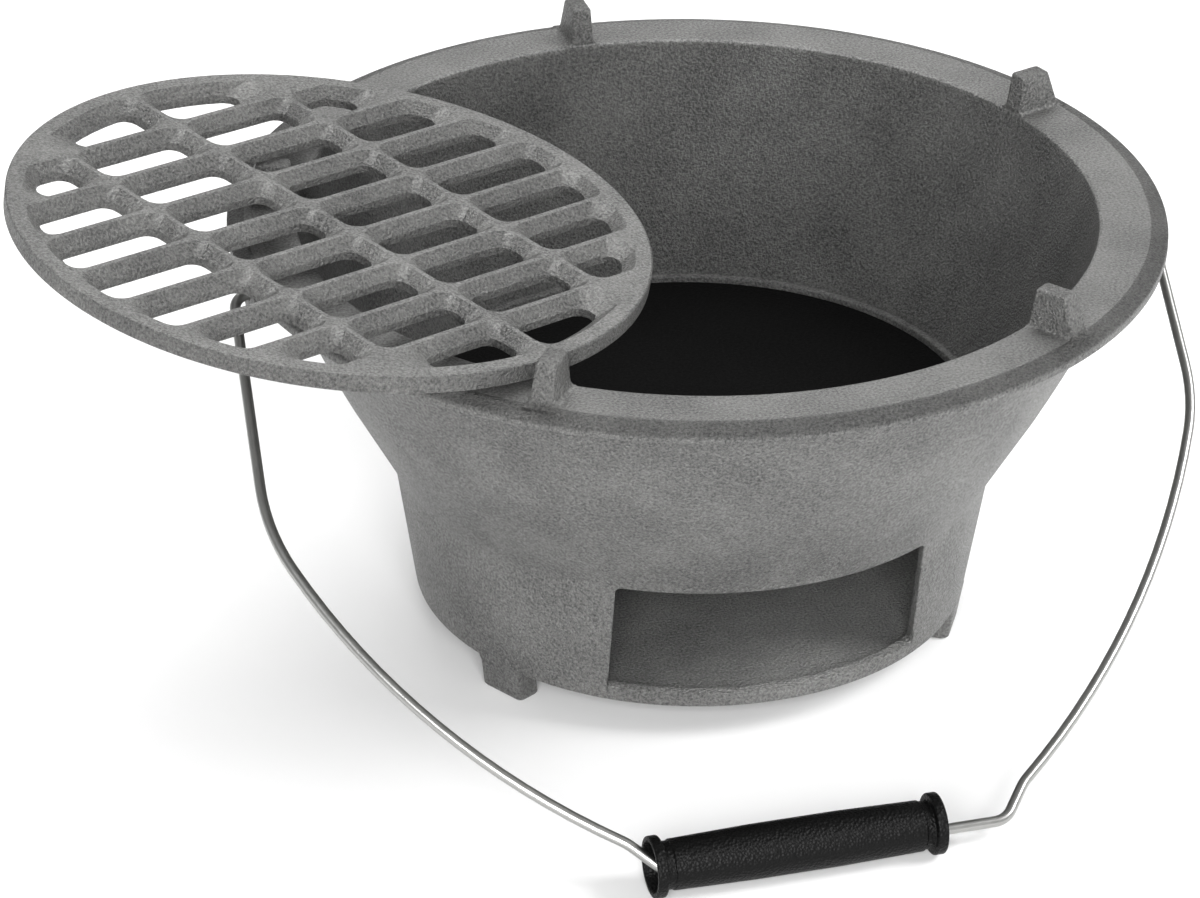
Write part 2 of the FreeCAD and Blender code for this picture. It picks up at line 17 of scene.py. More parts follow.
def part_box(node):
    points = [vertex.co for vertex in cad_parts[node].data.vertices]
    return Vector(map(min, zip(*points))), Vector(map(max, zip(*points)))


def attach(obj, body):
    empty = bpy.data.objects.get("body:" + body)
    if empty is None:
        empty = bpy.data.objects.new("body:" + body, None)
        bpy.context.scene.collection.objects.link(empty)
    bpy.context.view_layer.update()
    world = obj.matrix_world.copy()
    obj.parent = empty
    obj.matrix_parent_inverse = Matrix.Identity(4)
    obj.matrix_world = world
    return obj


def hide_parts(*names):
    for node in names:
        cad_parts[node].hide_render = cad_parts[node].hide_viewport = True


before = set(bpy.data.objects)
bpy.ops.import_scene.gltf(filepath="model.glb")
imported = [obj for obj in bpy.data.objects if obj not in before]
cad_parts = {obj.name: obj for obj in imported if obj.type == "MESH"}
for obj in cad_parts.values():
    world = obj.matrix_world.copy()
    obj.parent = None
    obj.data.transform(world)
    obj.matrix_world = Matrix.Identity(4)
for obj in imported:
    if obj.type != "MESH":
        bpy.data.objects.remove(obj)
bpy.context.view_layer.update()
print("nodes:", sorted(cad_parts))

# %% [markdown]
# ## Sizes
#
# Lengths are in millimetres and turned into metres where they are used. The overall ones are read
# from the frame, so the pieces below follow the CAD part. The others are the casting's own.

# %%
MM = 0.001


def span(node, axis):
    """Lowest and highest place of a CAD node along one axis, in millimetres."""
    low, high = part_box(node)
    return low[axis] / MM, high[axis] / MM


RIM_RADIUS = span("stove_body", 0)[1]
LUG_TOP = span("stove_body", 2)[1]
LUG_HEIGHT = 14.5
RIM_TOP = LUG_TOP - LUG_HEIGHT
RIM_WIDTH = 25.2
RIM_INNER = RIM_RADIUS - RIM_WIDTH
CHAMFER_WIDTH = 5.8
CHAMFER_DEPTH = 2
FLANGE_DEPTH = 6
FLANGE_UNDERSIDE = RIM_TOP - FLANGE_DEPTH
WALL_TOP_RADIUS = 161
WALL_BULGE = 2.0
NECK_RADIUS = 114.2
NECK_HEIGHT = 67.6
NECK_FILLET = 22
BASE_RADIUS = 105.9
BASE_WALL = 4
FOOT_HEIGHT = 13.5
FLOOR_THICKNESS = 4.5
FLOOR_TOP = FOOT_HEIGHT + FLOOR_THICKNESS
SHELF_THICKNESS = 8
SHELF_BORE = 95
SEAT = NECK_HEIGHT + SHELF_THICKNESS
RECESS_DEPTH = 8
RECESS_RADIUS = 107.6
LEDGE = SEAT + RECESS_DEPTH
BOWL_FLOOR_RADIUS = 110.5
BOWL_BULGE = 1.8
WINDOW_HALF_WIDTH = 59.3
WINDOW_HEIGHT = 47.2
SILL_HEIGHT = 1.7
WINDOW_BOTTOM = FLOOR_TOP + SILL_HEIGHT
WINDOW_TOP = WINDOW_BOTTOM + WINDOW_HEIGHT
HINGE_DROP = 14
HINGE_HEIGHT = RIM_TOP - HINGE_DROP
EAR_SETBACK = 3.5
EAR_OUTER = RIM_RADIUS - EAR_SETBACK
EAR_THICKNESS = 8
EAR_RADIUS = 9
EAR_RISE = 10
EAR_HOLE = 2.4
print(f"rim {2 * RIM_RADIUS:.0f} mm across, {RIM_TOP:.1f} mm above the table")

# %% [markdown]
# ## Small helpers
#
# `rounded` turns a list of corners into an outline with an arc at each corner, and `spin_outline`
# turns an outline about the upright axis. `new_piece` puts a bmesh in the scene as an object at the
# origin, smooth shaded below an angle. `loft` and `subtract` make and cut blocks.

# %%
AROUND = 192
WELD = 0.005
CREASE = math.radians(35)


def rounded(corners, steps=5):
    """Points along an open outline. Each corner is (x, y, radius of its arc)."""
    points = [Vector(corners[0][:2])]
    for before, here, after in zip(corners, corners[1:], corners[2:]):
        corner, radius = Vector(here[:2]), here[2]
        if radius == 0:
            points.append(corner)
            continue
        ways = [(Vector(side[:2]) - corner).normalized() for side in (before, after)]
        half = ways[0].angle(ways[1]) / 2
        reach = radius / math.tan(half)
        centre = corner + (ways[0] + ways[1]).normalized() * (radius / math.sin(half))
        start, end = (corner + way * reach - centre for way in ways)
        turn = start.angle_signed(end)
        for step in range(steps + 1):
            angle = -turn * step / steps
            points.append(centre + Matrix.Rotation(angle, 2) @ start)
    points.append(Vector(corners[-1][:2]))
    return points


def bowed(start, end, sagitta, steps=10):
    """Corners between two places on a shallow arc, to the right of the way from start to end."""
    start, end = Vector(start), Vector(end)
    way = end - start
    out = Vector((way.y, -way.x)).normalized()
    places = []
    for step in range(1, steps):
        share = step / steps
        place = start + way * share + out * sagitta * 4 * share * (1 - share)
        places.append((place.x, place.y, 0))
    return places


def spin_outline(bm, outline, steps):
    """Turn an outline of (radius, height) in millimetres about the Z axis."""
    verts = [bm.verts.new((point.x * MM, 0, point.y * MM)) for point in outline]
    edges = [bm.edges.new(pair) for pair in zip(verts, verts[1:])]
    bmesh.ops.spin(
        bm,
        geom=verts + edges,
        cent=(0, 0, 0),
        axis=(0, 0, 1),
        angle=math.tau,
        steps=steps,
        use_merge=True,
    )
    bmesh.ops.remove_doubles(bm, verts=bm.verts, dist=WELD * MM)
    bmesh.ops.recalc_face_normals(bm, faces=bm.faces)


def new_piece(name, bm, body):
    """Put a bmesh in the scene as a piece that moves with a CAD body."""
    mesh = bpy.data.meshes.new(name)
    bm.to_mesh(mesh)
    bm.free()
    piece = bpy.data.objects.new(name, mesh)
    bpy.context.collection.objects.link(piece)
    mesh.shade_smooth()
    mesh.set_sharp_from_angle(angle=CREASE)
    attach(piece, body)
    triangles = sum(len(face.vertices) - 2 for face in mesh.polygons)
    print(f"{name}: {len(mesh.polygons)} faces, {triangles} triangles")
    return piece


def absorb(bm, other, turn):
    """Add another bmesh to this one, turned by a matrix, and free it."""
    other.transform(turn)
    scrap = bpy.data.meshes.new("scrap")
    other.to_mesh(scrap)
    other.free()
    bm.from_mesh(scrap)
    bpy.data.meshes.remove(scrap)


def loft(bm, levels):
    """A closed block through outlines of equal length, each a list of places in millimetres."""
    loops = [[bm.verts.new(place * MM) for place in level] for level in levels]
    rings = [[bm.edges.new((ring[i - 1], ring[i])) for i in range(len(ring))] for ring in loops]
    for lower, upper in zip(rings, rings[1:]):
        bmesh.ops.bridge_loops(bm, edges=lower + upper)
    for ring in (loops[0], loops[-1]):
        bm.faces.new(ring)
    bmesh.ops.recalc_face_normals(bm, faces=bm.faces)


def subtract(bm, cutter):
    """Take one bmesh out of another with a Boolean modifier, and free the cutter."""
    pair = []
    for name, source in (("base", bm), ("cutter", cutter)):
        mesh = bpy.data.meshes.new(name)
        source.to_mesh(mesh)
        pair.append(bpy.data.objects.new(name, mesh))
        bpy.context.collection.objects.link(pair[-1])
    cutter.free()
    modifier = pair[0].modifiers.new("cut", "BOOLEAN")
    modifier.operation = "DIFFERENCE"
    modifier.solver = "EXACT"
    modifier.object = pair[1]
    bpy.context.view_layer.update()
    cut = pair[0].evaluated_get(bpy.context.evaluated_depsgraph_get()).to_mesh()
    bm.clear()
    bm.from_mesh(cut)
    for thing in pair:
        data = thing.data
        bpy.data.objects.remove(thing)
        bpy.data.meshes.remove(data)


# %% [markdown]
# ## The casting's turned part
#
# One outline runs from the underside of the pedestal, up the outside, over the rim and down into
# the bowl and the ash chamber. Every corner has the soft edge that a sand mould leaves. The lowest
# places of the bowed wall are left out, because the fillet at the neck takes their room.

# %%
NECK_ROOM = 3

outside = [
    (0, FOOT_HEIGHT, 0),
    (BASE_RADIUS, FOOT_HEIGHT, 1.4),
    (NECK_RADIUS, NECK_HEIGHT, NECK_FILLET),
]
wall = bowed((NECK_RADIUS, NECK_HEIGHT), (WALL_TOP_RADIUS, FLANGE_UNDERSIDE), WALL_BULGE)
rim = [
    (WALL_TOP_RADIUS, FLANGE_UNDERSIDE, 2.5),
    (RIM_RADIUS, FLANGE_UNDERSIDE, 1.0),
    (RIM_RADIUS, RIM_TOP - CHAMFER_DEPTH, 0.8),
    (RIM_RADIUS - CHAMFER_WIDTH, RIM_TOP, 2.0),
    (RIM_INNER, RIM_TOP, 1.8),
]
bowl = bowed((BOWL_FLOOR_RADIUS, LEDGE), (RIM_INNER, RIM_TOP), BOWL_BULGE)[::-1]
inside = [
    (BOWL_FLOOR_RADIUS, LEDGE, 0.9),
    (RECESS_RADIUS, LEDGE, 0.8),
    (RECESS_RADIUS, SEAT, 0.5),
    (SHELF_BORE, SEAT, 1.5),
    (SHELF_BORE, NECK_HEIGHT, 1.5),
    (NECK_RADIUS - BASE_WALL, NECK_HEIGHT, 4),
    (BASE_RADIUS - BASE_WALL, FLOOR_TOP, 3),
    (0, FLOOR_TOP, 0),
]
casting = bmesh.new()
spin_outline(casting, rounded(outside + wall[NECK_ROOM:] + rim + bowl + inside), AROUND)
print("turned part:", len(casting.faces), "faces")

# %% [markdown]
# ## The draught window
#
# A block with rounded corners is taken out of the front of the pedestal with a Boolean modifier,
# and the new outline gets a small worn edge.

# %%
WINDOW_CORNER = 2
WORN_EDGE = 0.7
WORN_ANGLE = math.radians(50)
CUT_INWARD = 60
CUT_OUTWARD = 15


def soften(bm, edges, size, segments):
    """Round edges off by a size in millimetres."""
    bmesh.ops.bevel(
        bm,
        geom=edges,
        offset=size * MM,
        segments=segments,
        profile=0.5,
        affect="EDGES",
        material=-1,
    )


def cut_window(bm):
    """Take the window out of the casting and soften its outline."""
    cutter = bmesh.new()
    bmesh.ops.create_cube(cutter, size=1)
    depth = (BASE_RADIUS - CUT_INWARD, NECK_RADIUS + CUT_OUTWARD)
    size = (2 * WINDOW_HALF_WIDTH, depth[1] - depth[0], WINDOW_TOP - WINDOW_BOTTOM)
    middle = (0, -sum(depth) / 2, (WINDOW_TOP + WINDOW_BOTTOM) / 2)
    bmesh.ops.scale(cutter, vec=Vector(size) * MM, verts=cutter.verts)
    bmesh.ops.translate(cutter, vec=Vector(middle) * MM, verts=cutter.verts)
    corners = []
    for edge in cutter.edges:
        if abs((edge.verts[0].co - edge.verts[1].co).y) > size[1] / 2 * MM:
            corners.append(edge)
    soften(cutter, corners, WINDOW_CORNER, segments=4)
    subtract(bm, cutter)
    worn = []
    for edge in bm.edges:
        if len(edge.link_faces) == 2 and edge.calc_face_angle() > WORN_ANGLE:
            middle = (edge.verts[0].co + edge.verts[1].co) / 2 / MM
            outer = math.hypot(middle.x, middle.y) > BASE_RADIUS - BASE_WALL / 2
            if middle.y < 0 and outer and WINDOW_BOTTOM - 1 < middle.z < WINDOW_TOP + 1:
                worn.append(edge)
    soften(bm, worn, WORN_EDGE, segments=2)
    print("window outline:", len(worn), "edges softened")


cut_window(casting)

# %% [markdown]
# ## Lugs
#
# A lug is a stack of rounded rectangles that shrink upwards: quickly at the foot, where the casting
# has a fillet, then slowly along the drafted sides, and quickly again over the top edge.

# %%
LUG_COUNT = 5
LUG_BASE = (9, 19.5)
LUG_TOP_SIZE = (7.5, 12.5)
LUG_SETBACK = 2
LUG_FOOT = 2.2
LUG_EDGE = 0.9
LUG_CORNER = 1.1


def rounded_block(bm, levels, corner):
    """A block of rounded rectangles. Each level is (height, width, low y, high y)."""
    outlines = []
    for height, width, low, high in levels:
        radius = min(corner, width / 2.2, (high - low) / 2.2)
        middle = (0, low)
        box = [(width / 2, low), (width / 2, high), (-width / 2, high), (-width / 2, low)]
        outline = rounded([middle] + [(x, y, radius) for x, y in box] + [middle], steps=4)[1:-1]
        outlines.append([Vector((point.x, point.y, height)) for point in outline])
    loft(bm, outlines)


def lug_levels():
    """Heights and sections of one lug, from just under the rim's top to the lug's own top."""
    rows = [(-1.0, LUG_FOOT), (0.0, LUG_FOOT)]
    for turn in (0.4, 0.8, 1.2, 1.57):
        rows.append((LUG_FOOT * (1 - math.cos(turn)), LUG_FOOT * (1 - math.sin(turn))))
    rows += [(LUG_HEIGHT * 0.5, 0), (LUG_HEIGHT - LUG_EDGE, 0)]
    for turn in (0.5, 1.0, 1.4):
        below_top = LUG_EDGE * (1 - math.sin(turn))
        rows.append((LUG_HEIGHT - below_top, -LUG_EDGE * (1 - math.cos(turn))))
    levels = []
    for height, grow in rows:
        share = max(0, height) / LUG_HEIGHT
        width, length = (
            base + (top - base) * share for base, top in zip(LUG_BASE, LUG_TOP_SIZE))
        low = RIM_INNER + LUG_SETBACK * share
        high = low + length + grow
        levels.append((RIM_TOP + height, width + 2 * grow, low - min(grow, 0), high))
    return levels


for number in range(LUG_COUNT):
    lug = bmesh.new()
    rounded_block(lug, lug_levels(), LUG_CORNER)
    absorb(casting, lug, Matrix.Rotation(math.tau * number / LUG_COUNT, 4, "Z"))
print("lugs:", LUG_COUNT)

# %% [markdown]
# ## Feet and ears
#
# The feet carry on the cone of the pedestal down to the table. The ears are tabs under the rim with
# a hole for the bail.

# %%
FOOT_COUNT = 3
FOOT_WIDTH = 20
FOOT_DEPTH = 10.5
FOOT_CORNER = 2
FOOT_INSET = 0.15
FLARE = (NECK_RADIUS - BASE_RADIUS) / (NECK_HEIGHT - FOOT_HEIGHT)
EAR_STEPS = 48
TINY = 1e-6


def foot_levels():
    """Heights and sections of one foot, from the table up into the pedestal."""
    top = FOOT_HEIGHT
    rows = [(0, -1.0), (0.4, -0.45), (1.2, 0), (top - 2, 0), (top - 0.7, 0.5), (top + 2, 1.6)]
    levels = []
    for height, grow in rows:
        outer = BASE_RADIUS + (height - FOOT_HEIGHT) * FLARE
        back, front = outer - FOOT_DEPTH - grow, outer + min(grow, 0) - FOOT_INSET
        levels.append((height, FOOT_WIDTH + 2 * grow, back, front))
    return levels


for number in range(FOOT_COUNT):
    foot = bmesh.new()
    rounded_block(foot, foot_levels(), FOOT_CORNER)
    absorb(casting, foot, Matrix.Rotation(math.tau * number / FOOT_COUNT, 4, "Z"))


def make_ear():
    """A tab around a hole: two outlines bridged into a face and drawn out to a thickness."""
    bm = bmesh.new()
    hole, edge = [], []
    for step in range(EAR_STEPS):
        turn = math.tau * step / EAR_STEPS
        way = Vector((math.cos(turn), math.sin(turn)))
        reach = EAR_RADIUS
        if way.y >= 0:
            reach = min(EAR_RADIUS / max(abs(way.x), TINY), EAR_RISE / max(way.y, TINY))
        for ring, radius in ((hole, EAR_HOLE), (edge, reach)):
            place = Vector((0, way.x * radius, HINGE_HEIGHT + way.y * radius))
            ring.append(bm.verts.new(place * MM))
    loops = []
    for ring in (hole, edge):
        loops += [bm.edges.new((ring[i - 1], ring[i])) for i in range(EAR_STEPS)]
    bmesh.ops.bridge_loops(bm, edges=loops)
    drawn = bmesh.ops.extrude_face_region(bm, geom=bm.faces[:])
    moved = [item for item in drawn["geom"] if isinstance(item, bmesh.types.BMVert)]
    bmesh.ops.translate(bm, vec=(EAR_THICKNESS * MM, 0, 0), verts=moved)
    bmesh.ops.translate(bm, vec=((EAR_OUTER - EAR_THICKNESS) * MM, 0, 0), verts=bm.verts)
    bmesh.ops.recalc_face_normals(bm, faces=bm.faces)
    return bm


for turn in (0, math.pi):
    absorb(casting, make_ear(), Matrix.Rotation(turn, 4, "Z"))
stove = new_piece("stove_casting", casting, "stove")
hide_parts("stove_body")

# %% [markdown]
# ## The cooking grate
#
# The grate starts as a solid disc. One cutter for each slot, upright below and flared above, leaves
# the ring, the bars and the ribs with sloped tops that meet in thin ridges. The finished grate is
# tilted and laid askew, over the lug at the left.

# %%
GRATE_RADIUS = 118.2
GRATE_EDGE = 0.7
RING_WIDTH = 11
RING_LAND = 6.5
RING_DEPTH = 6.8
BAR_PITCH = 24.5
BAR_COUNT = 8
RIB_PITCH = 53
RIB_COUNT = 3
BAR_WIDTH = 10.6
RIDGE_WIDTH = 2
FLANK_DEPTH = 3
SLOT_CORNER = 5
SLOT_STEPS = 72
CUTTER_BELOW = 1
CUTTER_ABOVE = 0.2
LEAN_AZIMUTH = math.radians(162)
GRATE_TILT = math.radians(8.127)
BAR_TURN = math.radians(46.6)
GRATE_BACK = 133.2
GRATE_SIDE = 53.4
GRATE_LEAN_RADIUS = 159
GRATE_GAP = 0.8


def cut_by_line(outline, way, reach):
    """The part of a convex outline that lies within reach along a way."""
    kept = []
    for here, after in zip(outline, outline[1:] + outline[:1]):
        near, far = (place.dot(way) - reach for place in (here, after))
        if near <= 0:
            kept.append(here)
        if near * far < 0:
            kept.append(here.lerp(after, near / (near - far)))
    return kept


def slot_outline(box, inset, ring, corner, steps=96):
    """A rectangle drawn in by an inset and cut by the ring's inside, with round corners."""
    low, high = box
    edge = inset + corner
    outline = [
        Vector((low[0] + edge, low[1] + edge)),
        Vector((high[0] - edge, low[1] + edge)),
        Vector((high[0] - edge, high[1] - edge)),
        Vector((low[0] + edge, high[1] - edge)),
    ]
    for step in range(steps):
        turn = math.tau * step / steps
        outline = cut_by_line(outline, Vector((math.cos(turn), math.sin(turn))), ring - corner)
    points = []
    for before, here, after in zip(outline[-1:] + outline[:-1], outline, outline[1:] + outline[:1]):
        first, last = here - before, after - here
        if min(first.length, last.length) < TINY:
            continue
        start = math.atan2(-first.x, first.y)
        turn = (math.atan2(-last.x, last.y) - start) % math.tau
        for share in (0, 0.25, 0.5, 0.75, 1):
            aim = start + turn * share
            points.append(here + Vector((math.cos(aim), math.sin(aim))) * corner)
    return points


def along_rays(outline, centre, ways):
    """Where rays from a centre leave a convex outline."""
    places = []
    for way in ways:
        reach = math.inf
        for here, after in zip(outline, outline[1:] + outline[:1]):
            side = after - here
            out = Vector((side.y, -side.x))
            if out.dot(way) > 1e-12:
                reach = min(reach, out.dot(here - centre) / out.dot(way))
        places.append(centre + way * reach)
    return places


def even_points(outline, count):
    """Places at even steps along a closed outline."""
    sides = list(zip(outline, outline[1:] + outline[:1]))
    total = sum((after - here).length for here, after in sides)
    places, walked = [], 0
    for here, after in sides:
        length = (after - here).length
        while len(places) < count and len(places) * total / count < walked + length:
            places.append(here.lerp(after, (len(places) * total / count - walked) / length))
        walked += length
    return places


def add_slot(bm, box):
    """Add one slot's cutter: upright up to the flank, then flared up to the ridges.

    The corners get smaller where the slot is too small for them. Gives the number of slots added.
    """
    corner = SLOT_CORNER
    lower = slot_outline(box, BAR_WIDTH / 2, GRATE_RADIUS - RING_WIDTH, corner)
    while len(lower) < 3 and corner > 0.5:
        corner *= 0.8
        lower = slot_outline(box, BAR_WIDTH / 2, GRATE_RADIUS - RING_WIDTH, corner)
    if len(lower) < 3:
        return 0
    centre = sum(lower, Vector((0, 0))) / len(lower)
    ways = [(place - centre).normalized() for place in even_points(lower, SLOT_STEPS)]
    upper = slot_outline(box, RIDGE_WIDTH / 2, GRATE_RADIUS - RING_LAND, corner + 1)
    rows = [along_rays(outline, centre, ways) for outline in (lower, upper)]
    top = RING_DEPTH + CUTTER_ABOVE
    flare = (top - FLANK_DEPTH) / (RING_DEPTH - FLANK_DEPTH)
    over = [low.lerp(high, flare) for low, high in zip(*rows)]
    levels = ((rows[0], -CUTTER_BELOW), (rows[0], FLANK_DEPTH), (over, top))
    loft(bm, [[Vector((place.x, place.y, height)) for place in row] for row, height in levels])
    return 1


def lines(pitch, count):
    """Middle lines of a row of bars, with an outer limit at each end."""
    row = [(number - (count - 1) / 2) * pitch for number in range(count)]
    return [-2 * GRATE_RADIUS] + row + [2 * GRATE_RADIUS]


disc = [
    (0, 0, 0),
    (GRATE_RADIUS, 0, GRATE_EDGE),
    (GRATE_RADIUS, RING_DEPTH, GRATE_EDGE),
    (0, RING_DEPTH, 0),
]
grate_mesh = bmesh.new()
spin_outline(grate_mesh, rounded(disc), AROUND)
slots = bmesh.new()
across, along = lines(RIB_PITCH, RIB_COUNT), lines(BAR_PITCH, BAR_COUNT)
slot_count = 0
for left, right in zip(across, across[1:]):
    for front, back in zip(along, along[1:]):
        slot_count += add_slot(slots, ((left, front), (right, back)))
subtract(grate_mesh, slots)
print("slots:", slot_count)

downhill = LEAN_AZIMUTH - math.pi
lay = Matrix.Rotation(GRATE_TILT, 4, Vector((-math.sin(downhill), math.cos(downhill), 0)))
spin = Matrix.Rotation(BAR_TURN + downhill, 4, "Z")
fall = (GRATE_LEAN_RADIUS - GRATE_BACK) * math.tan(GRATE_TILT)
grate_place = Vector((
    GRATE_BACK * math.cos(LEAN_AZIMUTH) - GRATE_SIDE * math.sin(LEAN_AZIMUTH),
    GRATE_BACK * math.sin(LEAN_AZIMUTH) + GRATE_SIDE * math.cos(LEAN_AZIMUTH),
    LUG_TOP + GRATE_GAP - fall,
)) * MM
grate_mesh.transform(Matrix.Translation(grate_place) @ lay @ spin)
grate = new_piece("iron_grate", grate_mesh, "grate")
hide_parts("cooking_grate")

# %% [markdown]
# ## The grip
#
# A turned sleeve with a flange and a groove at each end and a hollow mouth, on the straight run of
# the bail.

# %%
GRIP_LENGTH = span("bail_grip", 0)[1] - span("bail_grip", 0)[0]
GRIP_BORE = 5.5
MOUTH_RADIUS = 9.4
MOUTH_DEPTH = 9
GRIP_FLANGE_RADIUS = 11.2
GRIP_FLANGE_WIDTH = 4
GROOVE_RADIUS = 8.7
GROOVE_WIDTH = 3
SHOULDER_RADIUS = 9.2
SHOULDER_WIDTH = 0.6
BARREL_RADIUS = 9.85
BARREL_ARC = 40

grip_low, grip_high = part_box("bail_grip")
grip_middle = [(low + high) / 2 for low, high in zip(grip_low, grip_high)]
end = GRIP_LENGTH / 2
flange_end = end - GRIP_FLANGE_WIDTH
groove_end = flange_end - GROOVE_WIDTH
half_outline = [
    (GRIP_BORE, end - MOUTH_DEPTH, 3),
    (MOUTH_RADIUS, end, 0.6),
    (GRIP_FLANGE_RADIUS, end, 0.7),
    (GRIP_FLANGE_RADIUS, flange_end, 0.9),
    (GROOVE_RADIUS, flange_end, 0.6),
    (GROOVE_RADIUS, groove_end, 0.6),
    (SHOULDER_RADIUS, groove_end - SHOULDER_WIDTH, 0.6),
    (BARREL_RADIUS, end * 0.3, BARREL_ARC),
]
other_half = [(radius, -height, arc) for radius, height, arc in reversed(half_outline)]
bore_middle = [(GRIP_BORE, 0, 0)]
sleeve = bmesh.new()
outline = rounded(bore_middle + half_outline + other_half + bore_middle, steps=6)
spin_outline(sleeve, outline, steps=64)
sleeve.transform(Matrix.Translation(grip_middle) @ Matrix.Rotation(math.pi / 2, 4, "Y"))
grip = new_piece("bail_sleeve", sleeve, "grip")
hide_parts("bail_grip")

# %% [markdown]
# ## Material helpers
#
# `add_node` adds one shader node with its settings and links, and the other helpers name the nodes
# that are used most. Colours are given as the sRGB values one would pick from a picture and turned
# into linear light by one function.

# %%
MIX_FIRST, MIX_SECOND, MIX_RESULT = 6, 7, 2  # the colour sockets of a Mix node


def linear(hex_colour):
    """An sRGB colour such as 8c8c8a as linear RGBA."""
    shares = [int(hex_colour[i:i + 2], 16) / 255 for i in (0, 2, 4)]
    return [c / 12.92 if c <= 0.04045 else ((c + 0.055) / 1.055) ** 2.4 for c in shares] + [1]


def add_node(tree, kind, inputs=None, **settings):
    """A shader node. Each input is a value, or an output socket to link from."""
    node = tree.nodes.new(kind)
    for name, value in settings.items():
        setattr(node, name, value)
    for name, value in (inputs or {}).items():
        if isinstance(value, bpy.types.NodeSocket):
            tree.links.new(value, node.inputs[name])
        else:
            node.inputs[name].default_value = value
    return node


def new_material(name):
    """An empty node material, its tree and its object coordinates."""
    material = bpy.data.materials.new(name)
    material.use_nodes = True
    tree = material.node_tree
    tree.nodes.clear()
    place = add_node(tree, "ShaderNodeTexCoord").outputs["Object"]
    return material, tree, place


def noise(tree, place, size, detail, roughness=0.55):
    """A noise whose features are about size millimetres across."""
    inputs = {"Vector": place, "Scale": 1 / (size * MM), "Detail": detail, "Roughness": roughness}
    return add_node(tree, "ShaderNodeTexNoise", inputs).outputs["Fac"]


def remap(tree, value, low, high, to_low, to_high):
    """A value taken from one range to another, and held at its ends."""
    ends = {"From Min": low, "From Max": high, "To Min": to_low, "To Max": to_high}
    return add_node(tree, "ShaderNodeMapRange", {"Value": value, **ends}).outputs["Result"]


def rise(tree, length, low, high):
    """A mask that goes from 0 to 1 between two places along a length, in millimetres."""
    return remap(tree, length, low * MM, high * MM, 0, 1)


def blend(tree, share, first, second):
    """A colour between two others."""
    inputs = {"Factor": share, MIX_FIRST: first, MIX_SECOND: second}
    return add_node(tree, "ShaderNodeMix", inputs, data_type="RGBA").outputs[MIX_RESULT]


def math_node(tree, operation, *values):
    """A Math node over values or sockets."""
    return add_node(tree, "ShaderNodeMath", dict(enumerate(values)), operation=operation).outputs[0]


def vector_node(tree, operation, inputs):
    """The outputs of a Vector Math node over values or sockets."""
    return add_node(tree, "ShaderNodeVectorMath", inputs, operation=operation).outputs


def finish_material(tree, settings, height, depth):
    """Join a bump, depth millimetres deep, and a principled surface to the output."""
    relief = {"Height": height, "Distance": depth * MM, "Strength": 1.0}
    bump = add_node(tree, "ShaderNodeBump", relief)
    settings = {**settings, "Normal": bump.outputs["Normal"]}
    surface = add_node(tree, "ShaderNodeBsdfPrincipled", settings)
    add_node(tree, "ShaderNodeOutputMaterial", {"Surface": surface.outputs["BSDF"]})


# %% [markdown]
# ## Iron
#
# The casting and the grate share one sand-cast iron. Masks made from the place and the direction of
# the surface then change it: the flat rim is smoother, and its chamfer rougher and darker with
# painted shade. Painted shade darkens the inside of the bowl and painted light brightens the ash
# floor. The grate's ridges are smoother than its slopes, and paler with painted light, while the
# slopes are darker with painted shade. The plate is the same iron under soot.

# %%
CLOUD_SIZE = 30
NOISE_RANGE = (0.3, 0.7)
SPECK = 0.48
SHEEN = 0.08
RIM_SMOOTHING = -0.6
# Painted shade: how much darker the inside of the bowl is made.
BOWL_PAINTED_SHADE = -0.35
# Painted shade: how much darker the rim's chamfer is made.
CHAMFER_PAINTED_SHADE = -0.24
# Painted light: how much paler the ash floor is made, as if lit through the window.
ASH_FLOOR_PAINTED_LIGHT = 0.7
# Upward slopes over which the grate goes from painted shade on slopes to painted light on ridges.
RIDGE_SLOPE = (0.82, 0.96)


def iron_shader(
    tree, place, dark, light, grain, depth,
    roughen=1.0, shade=1.0, metal=0.5, gloss=0.5, dull=0.42,
):
    """Bare iron from a sand mould: a tight grain, with lighter and darker clouds.

    roughen scales the grain and shade scales the colour. Either may be a socket. dull is the mean
    roughness.
    """
    sand = noise(tree, place, grain, detail=3, roughness=0.65)
    clouds = remap(tree, noise(tree, place, CLOUD_SIZE, detail=3), *NOISE_RANGE, 0.35, 0.65)
    tone = math_node(tree, "ADD", clouds, remap(tree, sand, *NOISE_RANGE, -SPECK, SPECK))
    colour = blend(tree, tone, linear(dark), linear(light))
    settings = {
        "Base Color": vector_node(tree, "SCALE", {0: colour, "Scale": shade})[0],
        "Metallic": metal,
        "Roughness": remap(tree, sand, *NOISE_RANGE, dull + SHEEN, dull - SHEEN),
        "Specular IOR Level": gloss,
    }
    finish_material(tree, settings, math_node(tree, "MULTIPLY", sand, roughen), depth)


def sand_cast_iron(name, dark, light, grain, depth, **finish):
    """The same iron all over."""
    material, tree, place = new_material(name)
    iron_shader(tree, place, dark, light, grain, depth, **finish)
    return material


